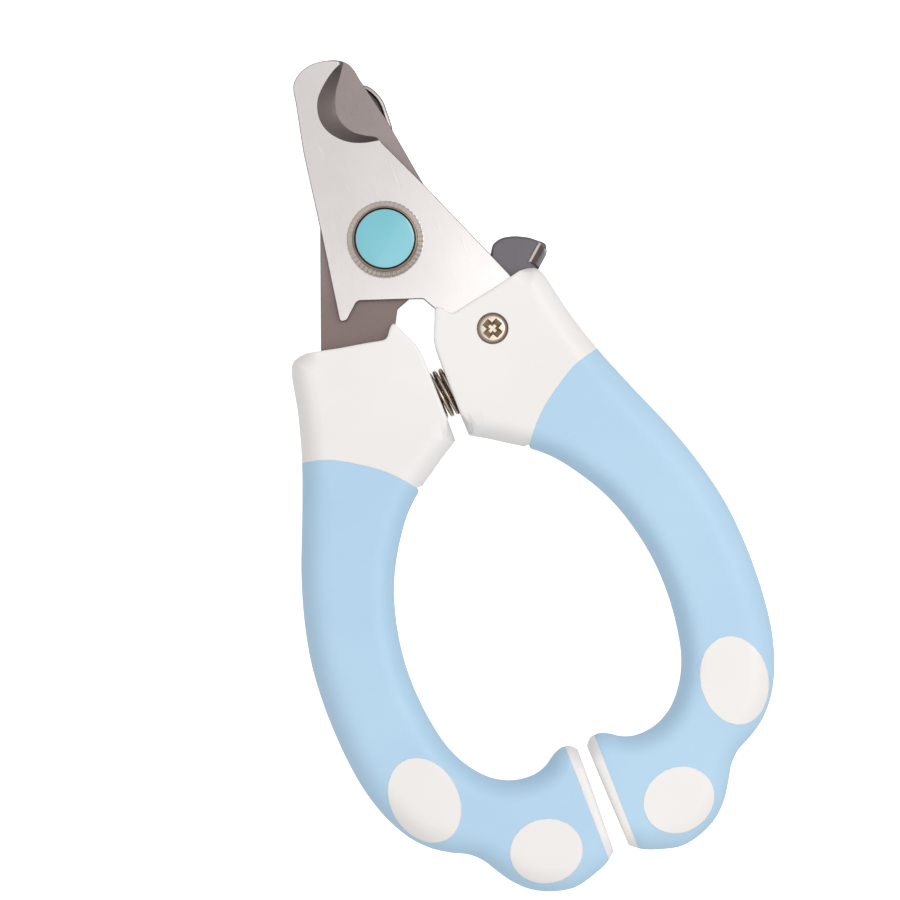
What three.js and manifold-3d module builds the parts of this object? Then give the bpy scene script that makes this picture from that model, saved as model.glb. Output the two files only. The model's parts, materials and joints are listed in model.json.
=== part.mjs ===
// Pet nail trimmer: a plier-type clipper with two crossing steel blades, a knurled pivot nut, a swinging nail
// guard, a thumb lock, a coil return spring and two paw-shaped handles.
//
// Units are millimetres. The part lies flat with its front face up: +X to the right, +Y from the handles to the
// nose of the blades, +Z up. Its origin is the middle of the bounding box's underside.
// Inside the group below, the pivot axis is X = 0, Y = 0 and the plane between the two blades is Z = 0.

import * as THREE from "three";
import { mergeVertices } from "three/addons/utils/BufferGeometryUtils.js";
import Module from "manifold-3d";

const wasm = await Module();
wasm.setup();

// Driving dimensions ------------------------------------------------------------------------------------------

const NOSE_Y = 34.4; // nose of the blades, ahead of the pivot
const PAW_Y = -120.9; // lowest point of the paws, behind the pivot
const HALF_THICK = 6.5; // handles, each side of the plane between the blades
const SLACK = 0.2; // gap between parts that are moulded or pressed together
const BLADE_THICK = 2.2;
const BLADE_GAP = 0.05; // each blade's distance from the middle plane

const SLEEVE_RADIUS = 3.4; // the sleeve that the blades and the guard turn on
const BOLT_RADIUS = 2.4;
const NUT_RADIUS = 6.9;
const NUT_TEETH = 48;

const SCREW = { x: 12.1, y: -21.9 }; // axis of the lock lever and its screw
const SCREW_RADIUS = 1.5;
const SCREW_HEAD_RADIUS = 2.75;

const SPRING = { y: -29.5, radius: 4.1, wire: 0.42, turns: 8 }; // radius of the coil's and the wire's centre line
const SPRING_SEAT = 4.4; // distance of each spring seat from the middle of the tool
const CORE_FACE_X = 1.3; // the cores' inner faces, each side of the middle
const PAW_FACE_X = 1.1; // the paws' stop faces
const SKIN = 1.8; // thickness of the soft grip over the core

const CIRCLE = 24; // sides of a full circle

// Solids ------------------------------------------------------------------------------------------------------

function solidOf(geometry) {
  const bare = geometry.index ? geometry.toNonIndexed() : geometry.clone();
  bare.deleteAttribute("normal");
  bare.deleteAttribute("uv");
  const merged = mergeVertices(bare, 1e-4);
  const mesh = new wasm.Mesh({
    numProp: 3,
    vertProperties: merged.attributes.position.array,
    triVerts: new Uint32Array(merged.index.array),
  });
  return new wasm.Manifold(mesh);
}

function geometryOf(solid) {
  const mesh = solid.getMesh();
  const positions = new Float32Array(mesh.numVert * 3);
  for (let i = 0; i < mesh.numVert; i++) {
    positions.set(mesh.vertProperties.subarray(i * mesh.numProp, i * mesh.numProp + 3), i * 3);
  }
  const geometry = new THREE.BufferGeometry();
  geometry.setAttribute("position", new THREE.BufferAttribute(positions, 3));
  geometry.setIndex(new THREE.BufferAttribute(new Uint32Array(mesh.triVerts), 1));
  geometry.computeVertexNormals();
  return geometry;
}

const union = (...solids) => solids.reduce((a, b) => a.add(b));
const cut = (solid, ...tools) => tools.reduce((a, b) => a.subtract(b), solid);

// An outline pulled up from z = low to z = high. A grow value swells it by that much all round.
function prism(shape, low, high, grow = 0) {
  const geometry = new THREE.ExtrudeGeometry(shape, {
    depth: high - low,
    curveSegments: CIRCLE / 4,
    bevelEnabled: grow > 0,
    bevelSize: grow,
    bevelThickness: grow,
    bevelSegments: 1,
  });
  return solidOf(geometry.translate(0, 0, low));
}

function polygon(points) {
  return new THREE.Shape(points.map(([x, y]) => new THREE.Vector2(x, y)));
}

function disc(radius, x = 0, y = 0) {
  const points = [];
  for (let i = 0; i < CIRCLE; i++) {
    const turn = (2 * Math.PI * i) / CIRCLE;
    points.push([x + radius * Math.cos(turn), y + radius * Math.sin(turn)]);
  }
  return polygon(points);
}

function ellipse(x, y, radiusX, radiusY, tiltDegrees) {
  const tilt = THREE.MathUtils.degToRad(tiltDegrees);
  const points = [];
  for (let i = 0; i < CIRCLE; i++) {
    const turn = (2 * Math.PI * i) / CIRCLE;
    const along = radiusX * Math.cos(turn);
    const across = radiusY * Math.sin(turn);
    points.push([
      x + along * Math.cos(tilt) - across * Math.sin(tilt),
      y + along * Math.sin(tilt) + across * Math.cos(tilt),
    ]);
  }
  return polygon(points);
}

const rod = (radius, low, high, x = 0, y = 0) => prism(disc(radius, x, y), low, high);

function tube(outer, inner, low, high, x = 0, y = 0) {
  return rod(outer, low, high, x, y).subtract(rod(inner, low - 1, high + 1, x, y));
}

// A turned part from [radius, z] points that start and end on the Z axis, going up.
function turned(profile, x = 0, y = 0) {
  const points = profile.map(([radius, z]) => new THREE.Vector2(radius, z));
  const geometry = new THREE.LatheGeometry(points, CIRCLE).rotateX(Math.PI / 2);
  return solidOf(geometry.translate(x, y, 0));
}

// A skin over rings of points that all have the same count, closed by a flat fan at each end.
function skinOver(rings) {
  const count = rings[0].length;
  const positions = rings.flat(2);
  const index = [];
  for (let r = 0; r + 1 < rings.length; r++) {
    for (let i = 0; i < count; i++) {
      const a = r * count + i;
      const b = r * count + ((i + 1) % count);
      index.push(a, b, b + count, a, b + count, a + count);
    }
  }
  const last = (rings.length - 1) * count;
  for (let i = 1; i + 1 < count; i++) {
    index.push(0, i + 1, i, last, last + i, last + i + 1);
  }
  const geometry = new THREE.BufferGeometry();
  geometry.setAttribute("position", new THREE.BufferAttribute(new Float32Array(positions), 3));
  geometry.setIndex(index);
  return solidOf(geometry);
}

// Blades ------------------------------------------------------------------------------------------------------

const BLADE_LOW = BLADE_GAP;
const BLADE_HIGH = BLADE_GAP + BLADE_THICK;
// The notch's rim on the outer face and its cutting edge on the inner face.
const NOTCH_RIM = { x: 4.2, y: 24.8, radiusX: 7.3, radiusY: 7.8 };
const NOTCH_EDGE = { x: 7.0, y: 24.9, radiusX: 6.8, radiusY: 7.6 };

function bladeOutline() {
  const shape = new THREE.Shape();
  shape.moveTo(4.8, 32.6); // point of the hook
  shape.quadraticCurveTo(-0.3, 36.0, -4.6, 33.0);
  shape.quadraticCurveTo(-5.75, 32.1, -5.95, 30.2);
  shape.lineTo(-10.35, 3.0);
  shape.lineTo(-12.85, -9.6);
  shape.quadraticCurveTo(-12.95, -10.7, -12.1, -10.7); // stop tooth
  shape.quadraticCurveTo(-11.5, -10.65, -11.0, -10.2);
  shape.lineTo(-9.3, -8.95);
  shape.quadraticCurveTo(-8.6, -8.45, -7.7, -8.65);
  shape.lineTo(2.2, -12.25);
  shape.quadraticCurveTo(3.2, -12.8, 4.3, -15.4);
  shape.lineTo(6.0, -19.0); // tang, inside the handle from here
  shape.lineTo(6.4, -33.5);
  shape.lineTo(19.0, -41.5);
  shape.lineTo(24.0, -52.0);
  shape.quadraticCurveTo(26.8, -55.0, 29.0, -52.0);
  shape.lineTo(27.6, -42.0);
  shape.lineTo(22.6, -25.5);
  shape.lineTo(18.5, -14.0);
  shape.lineTo(16.4, -9.0);
  shape.lineTo(10.3, 6.6);
  shape.lineTo(5.6, 17.0);
  return shape;
}

function ellipseRing(low, high, z) {
  const along = (z - low.z) / (high.z - low.z);
  const mix = (name) => low[name] + (high[name] - low[name]) * along;
  const ring = [];
  for (let i = 0; i < CIRCLE; i++) {
    const turn = (2 * Math.PI * i) / CIRCLE;
    ring.push([
      mix("x") + mix("radiusX") * Math.cos(turn),
      mix("y") + mix("radiusY") * Math.sin(turn),
      z,
    ]);
  }
  return ring;
}

// The slanting elliptical cut that leaves the hollow-ground bevel.
function notchCutter() {
  const edge = { ...NOTCH_EDGE, z: BLADE_LOW };
  const rim = { ...NOTCH_RIM, z: BLADE_HIGH };
  const beyond = 0.5;
  return skinOver([
    ellipseRing(edge, rim, BLADE_LOW - beyond),
    ellipseRing(edge, rim, BLADE_HIGH + beyond),
  ]);
}

function bladeSolid(hasLockHole) {
  const beyond = 1;
  let blade = prism(bladeOutline(), BLADE_LOW, BLADE_HIGH);
  blade = cut(blade, notchCutter(), rod(SLEEVE_RADIUS + 0.1, -beyond, BLADE_HIGH + beyond));
  return hasLockHole
    ? blade.subtract(rod(SCREW_RADIUS + SLACK, -beyond, BLADE_HIGH + beyond, SCREW.x, SCREW.y))
    : blade;
}

// Handles -----------------------------------------------------------------------------------------------------

// Stations down the right handle: a point on its outer edge, the matching point on its inner edge, and how far
// the rounding of each edge reaches in. The inner edge starts beyond the core's inner face, which cuts it off.
const STATIONS = [
  { outer: [23.0, -11.0], inner: [-9.0, -11.0], roundOuter: 4.5, roundInner: 5 },
  { outer: [24.6, -18.0], inner: [-9.0, -19.0], roundOuter: 4.5, roundInner: 5 },
  { outer: [26.3, -25.0], inner: [-8.5, -27.0], roundOuter: 4.5, roundInner: 5 },
  { outer: [28.3, -32.0], inner: [-7.0, -33.3], roundOuter: 4.7, roundInner: 5 },
  { outer: [30.6, -38.0], inner: [-0.5, -37.1], roundOuter: 5.0, roundInner: 5 },
  { outer: [33.0, -44.0], inner: [8.0, -42.0], roundOuter: 5.3, roundInner: 4.5 },
  { outer: [35.6, -51.0], inner: [16.0, -49.2], roundOuter: 5.5, roundInner: 4 },
  { outer: [37.8, -58.5], inner: [20.6, -57.0], roundOuter: 5.5, roundInner: 3.5 },
  { outer: [39.5, -66.0], inner: [23.2, -65.0], roundOuter: 5.5, roundInner: 3.2 },
  { outer: [40.6, -74.0], inner: [24.4, -73.5], roundOuter: 5.5, roundInner: 3.2 },
  { outer: [40.7, -82.0], inner: [24.4, -81.0], roundOuter: 5.5, roundInner: 3.4 },
  { outer: [39.8, -89.5], inner: [22.9, -88.0], roundOuter: 5.2, roundInner: 3.8 },
  { outer: [37.6, -96.5], inner: [20.2, -93.6], roundOuter: 5.0, roundInner: 4.2 },
  { outer: [34.0, -102.8], inner: [16.6, -97.4], roundOuter: 5.0, roundInner: 4.5 },
  { outer: [29.2, -107.0], inner: [13.2, -99.2], roundOuter: 5.0, roundInner: 4.5 },
  { outer: [24.6, -109.7], inner: [10.6, -99.6], roundOuter: 4.8, roundInner: 4.5 },
  { outer: [21.9, -113.4], inner: [8.4, -99.3], roundOuter: 4.8, roundInner: 4.2 },
  { outer: [19.0, -117.4], inner: [6.7, -98.5], roundOuter: 5.0, roundInner: 4.0 },
  { outer: [14.6, -120.2], inner: [5.2, -97.7], roundOuter: 5.0, roundInner: 4.0 },
  { outer: [9.4, -120.9], inner: [3.7, -97.1], roundOuter: 5.0, roundInner: 4.0 },
  { outer: [4.6, -119.3], inner: [2.0, -97.1], roundOuter: 4.6, roundInner: 4.0 },
  { outer: [0.2, -117.6], inner: [0.0, -97.6], roundOuter: 4.4, roundInner: 4.0 },
];
const SIDES_PER_ROUNDING = 3;

// The handle's rounded section between two edge points, seen as [distance from the outer edge, z] points.
function section(width, thick, roundOuter, roundInner) {
  const top = [];
  for (let i = 0; i <= SIDES_PER_ROUNDING; i++) {
    const turn = (Math.PI / 2) * (i / SIDES_PER_ROUNDING);
    top.push([roundOuter * (1 - Math.cos(turn)), thick * Math.sin(turn)]);
  }
  for (let i = SIDES_PER_ROUNDING; i >= 0; i--) {
    const turn = (Math.PI / 2) * (i / SIDES_PER_ROUNDING);
    top.push([width - roundInner * (1 - Math.cos(turn)), thick * Math.sin(turn)]);
  }
  const under = top.slice(1, -1).reverse().map(([along, z]) => [along, -z]);
  return [...top, ...under];
}

// The whole handle as one solid, its surface moved in by inset.
function handleLoft(inset) {
  const rings = STATIONS.map(({ outer, inner, roundOuter, roundInner }) => {
    const from = new THREE.Vector2(...outer);
    const across = new THREE.Vector2(...inner).sub(from);
    const width = across.length() - 2 * inset;
    across.normalize();
    from.addScaledVector(across, inset);
    const points = section(width, HALF_THICK - inset, roundOuter - 0.7 * inset, roundInner - 0.7 * inset);
    return points.map(([along, z]) => [from.x + across.x * along, from.y + across.y * along, z]);
  });
  return skinOver(rings);
}

const FAR = 70; // beyond every edge of the handle
const DEEP = HALF_THICK + 2;

// Seam between the white core and the soft grip: an arc that bulges towards the blades.
const SEAM = { outer: [28.4, -32.1], middle: [19.2, -36.3], inner: [10.9, -43.6] };
// White paw pads, as ellipses.
const PADS = [
  { x: 29.7, y: -96.1, radiusX: 6.1, radiusY: 8.0, tilt: -6 },
  { x: 12.7, y: -112.4, radiusX: 6.5, radiusY: 5.8, tilt: 8 },
];
const PAW_STRIP_X = 2.7; // the white strip beside each stop face ends here

// What is kept of the loft: the cores' inner face, the lug beside the blade, the top edge and the stop face.
function keepOutline() {
  return polygon([
    [CORE_FACE_X, -45],
    [CORE_FACE_X, -20.6],
    [3.0, -16.8],
    [3.7, -14.9],
    [4.3, -14.6],
    [5.2, -15.5],
    [6.1, -16.7],
    [7.2, -16.7],
    [18.5, -14.3],
    [21.9, -14.0],
    [23.3, -14.3],
    [24.2, -15.2],
    [24.5, -16.6],
    [FAR, -16.6],
    [FAR, -2 * FAR],
    [PAW_FACE_X, -2 * FAR],
    [PAW_FACE_X, -FAR],
  ]);
}

// Everything on the blade side of the seam, or on the paw side of it, moved away from it by gap.
function seamOutline(towardsBlade, gap) {
  const shift = towardsBlade ? gap : -gap;
  const [outer, middle, inner] = [SEAM.outer, SEAM.middle, SEAM.inner].map(
    ([x, y]) => new THREE.Vector2(x - 0.54 * shift, y + 0.84 * shift),
  );
  const slope = (outer.y - inner.y) / (outer.x - inner.x);
  const shape = new THREE.Shape();
  const end = towardsBlade ? FAR : -2 * FAR;
  shape.moveTo(-FAR, inner.y + (-FAR - inner.x) * slope);
  shape.lineTo(inner.x, inner.y);
  shape.splineThru([middle, outer]);
  shape.lineTo(FAR, outer.y + (FAR - outer.x) * slope * 0.6);
  shape.lineTo(FAR, end);
  shape.lineTo(-FAR, end);
  return shape;
}

// Straight rod along X, for the spring's pockets and posts.
function sideRod(radius, from, to, y) {
  const geometry = new THREE.CylinderGeometry(radius, radius, to - from, CIRCLE);
  return solidOf(geometry.rotateZ(Math.PI / 2).translate((from + to) / 2, y, 0));
}

function padSolids(full, shrink) {
  return PADS.map((pad) =>
    full.intersect(
      prism(ellipse(pad.x, pad.y, pad.radiusX - shrink, pad.radiusY - shrink, pad.tilt), -DEEP, DEEP),
    ),
  );
}

function leverSlotOutline() {
  return polygon([
    [6.9, -21.5],
    [7.4, -24.2],
    [9.6, -26.6],
    [12.4, -27.2],
    [15.6, -26.0],
    [17.2, -23.6],
    [23.0, -18.2],
    [26.5, -14.6],
    [26.5, -9.0],
    [8.2, -9.0],
    [8.2, -15.0],
  ]);
}

const LEVER = { low: -1.85, high: -0.35 };
const LEVER_TIP = 2.0; // height of the lever's turned-up end
const SLOT = { low: -2.5, high: 0.2 };

function coreSolid(full, hasLock) {
  const neck = full.intersect(prism(seamOutline(true, 0), -DEEP, DEEP));
  const strip = full.intersect(
    prism(polygon([[0, -90], [0, -130], [PAW_STRIP_X + 0.5, -130], [PAW_STRIP_X, -90]]), -DEEP, DEEP),
  );
  let core = union(neck, handleLoft(SKIN), strip, ...padSolids(full, 0));
  core = core.intersect(prism(keepOutline(), -DEEP, DEEP));
  const pocket = sideRod(5.0, 0, SPRING_SEAT, SPRING.y).subtract(sideRod(2.7, 0, SPRING_SEAT, SPRING.y));
  const postTip = sideRod(3, 0, CORE_FACE_X + 0.6, SPRING.y);
  const tang = prism(bladeOutline(), BLADE_LOW, BLADE_HIGH, SLACK);
  core = cut(core, pocket, postTip, tang);
  if (!hasLock) return core;
  return cut(
    core,
    prism(leverSlotOutline(), SLOT.low, SLOT.high),
    rod(SCREW_RADIUS + SLACK, -DEEP, DEEP, SCREW.x, SCREW.y),
    rod(SCREW_HEAD_RADIUS + SLACK, HALF_THICK - 1.7, DEEP, SCREW.x, SCREW.y),
    rod(2.4 + SLACK, -DEEP, SLOT.low + 0.5, SCREW.x, SCREW.y),
  );
}

function gripSolid(full) {
  const sleeve = full
    .intersect(prism(seamOutline(false, SLACK), -DEEP, DEEP))
    .intersect(prism(keepOutline(), -DEEP, DEEP));
  const strip = prism(
    polygon([[0, -90], [0, -130], [PAW_STRIP_X + 0.5 + SLACK, -130], [PAW_STRIP_X + SLACK, -90]]),
    -DEEP,
    DEEP,
  );
  return cut(sleeve, handleLoft(SKIN - SLACK), strip, ...padSolids(handleLoft(-0.5), -SLACK));
}

// Pivot -------------------------------------------------------------------------------------------------------

// Its flat eye lies behind the rear blade, and its broad end is turned by rest degrees from straight ahead.
const GUARD = { low: -3.6, high: -2.4, drop: 1.9, end: 28.6, half: 7.6, eye: 6.3, rest: -2.4 };
const BOLT_HEAD = { low: -5.8, high: -4.1, radius: 5.4 };
const NUT = { low: 2.8, high: 4.6 };

function toothedNut() {
  const points = [];
  for (let i = 0; i < 2 * NUT_TEETH; i++) {
    const turn = (Math.PI * i) / NUT_TEETH;
    const radius = i % 2 ? NUT_RADIUS - 0.35 : NUT_RADIUS;
    points.push([radius * Math.cos(turn), radius * Math.sin(turn)]);
  }
  const rim = prism(polygon(points), NUT.low, NUT.high);
  return rim.subtract(rod(BOLT_RADIUS + 0.1, NUT.low - 1, NUT.high + 1));
}

function pivotCap() {
  const low = NUT.high + 0.1;
  return turned([[0, low], [6.1, low], [6.1, low + 0.35], [5.5, low + 0.85], [0, low + 1.1]]);
}

function badge() {
  const low = NUT.high + 1.35;
  return turned([[0, low], [5.0, low - 0.05], [5.1, low + 0.15], [3.4, low + 0.35], [0, low + 0.45]]);
}

function pivotBolt() {
  const head = BOLT_HEAD;
  const body = turned([
    [0, head.low],
    [head.radius - 0.8, head.low],
    [head.radius, head.low + 0.7],
    [head.radius, head.high],
    [BOLT_RADIUS, head.high],
    [BOLT_RADIUS, NUT.high - 0.1],
    [0, NUT.high - 0.1],
  ]);
  const slot = prism(polygon([[-6, -0.6], [6, -0.6], [6, 0.6], [-6, 0.6]]), head.low - 1, head.low + 0.8);
  return body.subtract(slot);
}

// A broad plate that steps back from the rear blade, so the cut nail has room behind the edge.
function guardPlate() {
  const { low, high, drop, end, half, eye } = GUARD;
  const step = { from: 8.2, to: 11.2 };
  const profile = polygon([
    [-eye, high],
    [step.from, high],
    [step.to, high - drop],
    [end, high - drop],
    [end, low - drop],
    [step.to - 0.4, low - drop],
    [step.from - 0.4, low],
    [-eye, low],
  ]);
  const strip = new THREE.ExtrudeGeometry(profile, { depth: 2 * half, bevelEnabled: false });
  strip.translate(0, 0, -half).rotateX(Math.PI / 2).rotateZ(Math.PI / 2);
  const side = [
    [eye, 0],
    [5.4, 9],
    [5.4, 14],
    [6.9, 17],
    [half, 19.3],
    [half, 24.6],
    [6.9, 26.4],
    [5.6, 27.8],
    [3.8, end],
  ];
  const otherSide = side.map(([x, y]) => [-x, y]).reverse();
  const outline = union(
    prism(polygon([...side, ...otherSide]), low - 4, high + 1),
    rod(eye, low - 4, high + 1),
  );
  return solidOf(strip).intersect(outline).subtract(rod(SLEEVE_RADIUS + 0.1, low - 4, high + 1));
}

// Lock --------------------------------------------------------------------------------------------------------

// A point at that distance from the lock screw, in a direction measured clockwise from +Y in degrees.
function fromScrew(distance, degrees) {
  const turn = THREE.MathUtils.degToRad(degrees);
  return [SCREW.x + distance * Math.sin(turn), SCREW.y + distance * Math.cos(turn)];
}

// Flat lever: a hub, a ledge that catches the rear blade's stop tooth, and a wide thumb tab with a turned-up end.
function lockLever() {
  const arm = polygon([
    fromScrew(4.0, -60),
    fromScrew(4.4, -10),
    fromScrew(10.4, 4),
    fromScrew(10.3, 16),
    fromScrew(14.6, 21),
    fromScrew(15.6, 23),
    fromScrew(16.6, 27),
    fromScrew(17.4, 35),
    fromScrew(17.9, 43),
    fromScrew(18.3, 53),
    fromScrew(16.8, 57.2),
    fromScrew(14.4, 58.5),
    fromScrew(4.0, 85),
  ].reverse());
  const hub = rod(4.0, LEVER.low, LEVER.high, SCREW.x, SCREW.y);
  const flange = prism(
    polygon([fromScrew(18.3, 53), fromScrew(17.9, 49.5), fromScrew(14.3, 49.5), fromScrew(14.4, 57.5)]),
    LEVER.low,
    LEVER_TIP,
  );
  const lever = union(prism(arm, LEVER.low, LEVER.high), hub, flange);
  return lever.subtract(rod(2.5, LEVER.low - 1, LEVER.high + 1, SCREW.x, SCREW.y));
}

function lockScrew() {
  const head = { low: HALF_THICK - 1.6, high: HALF_THICK - 0.1 };
  const body = turned(
    [
      [0, -4.6],
      [SCREW_RADIUS, -4.6],
      [SCREW_RADIUS, head.low],
      [SCREW_HEAD_RADIUS, head.low],
      [SCREW_HEAD_RADIUS, head.high - 0.4],
      [SCREW_HEAD_RADIUS - 0.6, head.high],
      [0, head.high],
    ],
    SCREW.x,
    SCREW.y,
  );
  const bar = (width, length) =>
    prism(
      polygon([
        [SCREW.x - length, SCREW.y - width],
        [SCREW.x + length, SCREW.y - width],
        [SCREW.x + length, SCREW.y + width],
        [SCREW.x - length, SCREW.y + width],
      ]),
      head.high - 0.9,
      head.high + 1,
    );
  return cut(body, bar(0.35, 1.5), bar(1.5, 0.35));
}

// Spring ------------------------------------------------------------------------------------------------------

class CoilLine extends THREE.Curve {
  getPoint(t) {
    const reach = SPRING_SEAT - 0.1 - SPRING.wire;
    const turn = 2 * Math.PI * SPRING.turns * t;
    return new THREE.Vector3(
      -reach + 2 * reach * t,
      SPRING.y + SPRING.radius * Math.cos(turn),
      SPRING.radius * Math.sin(turn),
    );
  }
}

function returnSpring() {
  const wire = [];
  const sides = 6;
  for (let i = 0; i < sides; i++) {
    const turn = (2 * Math.PI * i) / sides;
    wire.push([SPRING.wire * Math.cos(turn), SPRING.wire * Math.sin(turn)]);
  }
  return new THREE.ExtrudeGeometry(polygon(wire), {
    steps: 12 * SPRING.turns,
    extrudePath: new CoilLine(),
    bevelEnabled: false,
  });
}

// Assembly ----------------------------------------------------------------------------------------------------

const LOOKS = {
  satin_steel: { color: 0xd6d2d1, roughness: 0.38, metalness: 1 },
  dark_steel: { color: 0x7c7371, roughness: 0.4, metalness: 1 },
  lever_steel: { color: 0x5c5a61, roughness: 0.35, metalness: 1 },
  bright_steel: { color: 0xc9c6c3, roughness: 0.2, metalness: 1 },
  spring_steel: { color: 0x8c7d6e, roughness: 0.25, metalness: 1 },
  brass: { color: 0xb99a56, roughness: 0.35, metalness: 1 },
  white_plastic: { color: 0xf1eeec, roughness: 0.45, metalness: 0 },
  blue_grip: { color: 0xb4d6ee, roughness: 0.6, metalness: 0 },
  enamel: { color: 0x78bfca, roughness: 0.25, metalness: 0 },
  nylon: { color: 0xe6e2d8, roughness: 0.5, metalness: 0 },
};

const materials = new Map();
function material(look) {
  if (!materials.has(look)) materials.set(look, new THREE.MeshStandardMaterial(LOOKS[look]));
  return materials.get(look);
}

function piece(name, look, shape) {
  const geometry = shape.isBufferGeometry ? shape : geometryOf(shape);
  const mesh = new THREE.Mesh(geometry, material(look));
  mesh.name = name;
  return mesh;
}

const fullHandle = handleLoft(0);

// The right half holds the front blade; the left half is the same parts turned over about the Y axis.
function half(side, bladeName, bladeLook, hasLock) {
  const group = new THREE.Group();
  group.add(piece(bladeName, bladeLook, bladeSolid(hasLock)));
  group.add(piece(`${side}_core`, "white_plastic", coreSolid(fullHandle, hasLock)));
  group.add(piece(`${side}_grip`, "blue_grip", gripSolid(fullHandle)));
  return group;
}

const trimmer = new THREE.Group();
const right = half("right", "front_blade", "satin_steel", true);
const left = half("left", "rear_blade", "dark_steel", false);
left.rotation.y = Math.PI;
trimmer.add(right, left);

const guard = piece("nail_guard", "bright_steel", guardPlate());
guard.rotation.z = THREE.MathUtils.degToRad(GUARD.rest);
trimmer.add(
  guard,
  piece("guard_washer", "nylon", tube(5.0, SLEEVE_RADIUS + 0.1, BOLT_HEAD.high + 0.05, GUARD.low - 0.05)),
  piece("pivot_bolt", "bright_steel", pivotBolt()),
  piece("pivot_sleeve", "bright_steel", tube(SLEEVE_RADIUS, BOLT_RADIUS + 0.1, BOLT_HEAD.high + 0.05, 2.3)),
  piece("nut_washer", "bright_steel", tube(6.0, BOLT_RADIUS + 0.1, 2.35, NUT.low - 0.05)),
  piece("pivot_nut", "bright_steel", toothedNut()),
  piece("pivot_cap", "bright_steel", pivotCap()),
  piece("badge", "enamel", badge()),
  piece("lock_lever", "lever_steel", lockLever()),
  piece("lock_screw", "bright_steel", lockScrew()),
  piece("lock_bush", "brass", tube(2.4, SCREW_RADIUS + 0.1, -2.45, -0.1, SCREW.x, SCREW.y)),
  piece("lock_friction_ring", "bright_steel", tube(3.9, 2.5, SLOT.low + 0.08, LEVER.low - 0.08, SCREW.x, SCREW.y)),
  piece("lock_insert", "brass", tube(2.4, SCREW_RADIUS + 0.1, -HALF_THICK + 0.15, -2.55, SCREW.x, SCREW.y)),
  piece("return_spring", "spring_steel", returnSpring()),
);
trimmer.position.set(0, -(NOSE_Y + PAW_Y) / 2, HALF_THICK);

const part = new THREE.Group();
part.add(trimmer);

export default part;
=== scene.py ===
"""Pet nail trimmer: the looks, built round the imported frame.

Shapes are written in millimetres from the pivot, like the CAD: X to the right, Y towards the nose of
the blades and Z out of the front face, with Z = 0 between the two blades. blank() turns them into metres
in the row frame. A solid is a pair of its vertices and its faces.
"""

import json
import math

import bmesh
import bpy
import numpy as np
from mathutils import Matrix, Vector
from mathutils.geometry import delaunay_2d_cdt


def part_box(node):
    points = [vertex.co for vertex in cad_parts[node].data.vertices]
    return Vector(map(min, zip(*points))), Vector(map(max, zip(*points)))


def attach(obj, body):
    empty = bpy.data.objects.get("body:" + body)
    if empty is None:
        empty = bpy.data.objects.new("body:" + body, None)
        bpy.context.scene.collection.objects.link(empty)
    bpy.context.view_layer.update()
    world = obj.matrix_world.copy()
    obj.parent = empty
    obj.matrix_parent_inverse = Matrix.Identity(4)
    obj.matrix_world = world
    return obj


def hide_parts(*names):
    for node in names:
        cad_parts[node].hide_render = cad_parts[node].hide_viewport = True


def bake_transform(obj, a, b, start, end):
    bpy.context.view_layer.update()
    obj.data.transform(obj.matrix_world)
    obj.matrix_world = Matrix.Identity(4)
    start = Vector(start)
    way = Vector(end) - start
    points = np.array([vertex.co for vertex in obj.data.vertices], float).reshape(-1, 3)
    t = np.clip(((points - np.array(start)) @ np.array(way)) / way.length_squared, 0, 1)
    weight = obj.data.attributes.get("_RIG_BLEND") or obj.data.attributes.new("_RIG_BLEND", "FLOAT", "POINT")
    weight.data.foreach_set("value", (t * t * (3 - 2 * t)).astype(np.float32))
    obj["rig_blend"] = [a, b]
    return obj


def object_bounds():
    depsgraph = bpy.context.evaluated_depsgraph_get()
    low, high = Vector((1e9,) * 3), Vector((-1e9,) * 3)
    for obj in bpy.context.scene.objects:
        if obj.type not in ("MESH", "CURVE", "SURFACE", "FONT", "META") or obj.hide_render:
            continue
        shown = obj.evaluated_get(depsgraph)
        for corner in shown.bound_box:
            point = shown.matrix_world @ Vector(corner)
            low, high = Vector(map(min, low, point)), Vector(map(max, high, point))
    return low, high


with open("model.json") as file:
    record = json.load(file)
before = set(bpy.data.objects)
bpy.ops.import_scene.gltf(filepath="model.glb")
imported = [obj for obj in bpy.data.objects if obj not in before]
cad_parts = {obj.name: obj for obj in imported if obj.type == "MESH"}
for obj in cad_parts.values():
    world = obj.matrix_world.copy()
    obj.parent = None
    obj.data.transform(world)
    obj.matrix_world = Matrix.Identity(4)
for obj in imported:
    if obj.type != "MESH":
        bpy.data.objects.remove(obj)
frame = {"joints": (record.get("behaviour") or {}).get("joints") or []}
cad_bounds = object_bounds()

MM = 0.001
JOINTS = {joint["name"]: joint for joint in frame["joints"]}
PIVOT = Vector(JOINTS["main_pivot"]["pos_m"])
SCREW = tuple((Vector(JOINTS["lock_pivot"]["pos_m"]) - PIVOT) / MM)[:2]


def height_of(node):
    """The lowest and highest Z of a CAD node, in millimetres from the pivot."""
    low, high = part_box(node)
    return (low.z - PIVOT.z) / MM, (high.z - PIVOT.z) / MM


HALF_THICK = height_of("right_grip")[1]
BLADE_LOW, BLADE_HIGH = height_of("front_blade")

# --------------------------------------------------------------------------------------------------
# Curves in the plane
# --------------------------------------------------------------------------------------------------


def points(*pairs):
    """A line of points from (x, y) pairs."""
    return np.array(pairs, float)


def evenly(line, step):
    """The same line with points about step apart."""
    lengths = np.concatenate([[0], np.cumsum(np.linalg.norm(np.diff(line, axis=0), axis=1))])
    count = max(2, int(round(lengths[-1] / step)) + 1)
    places = np.linspace(0, lengths[-1], count)
    return np.stack([np.interp(places, lengths, line[:, i]) for i in (0, 1)], axis=1)


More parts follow.
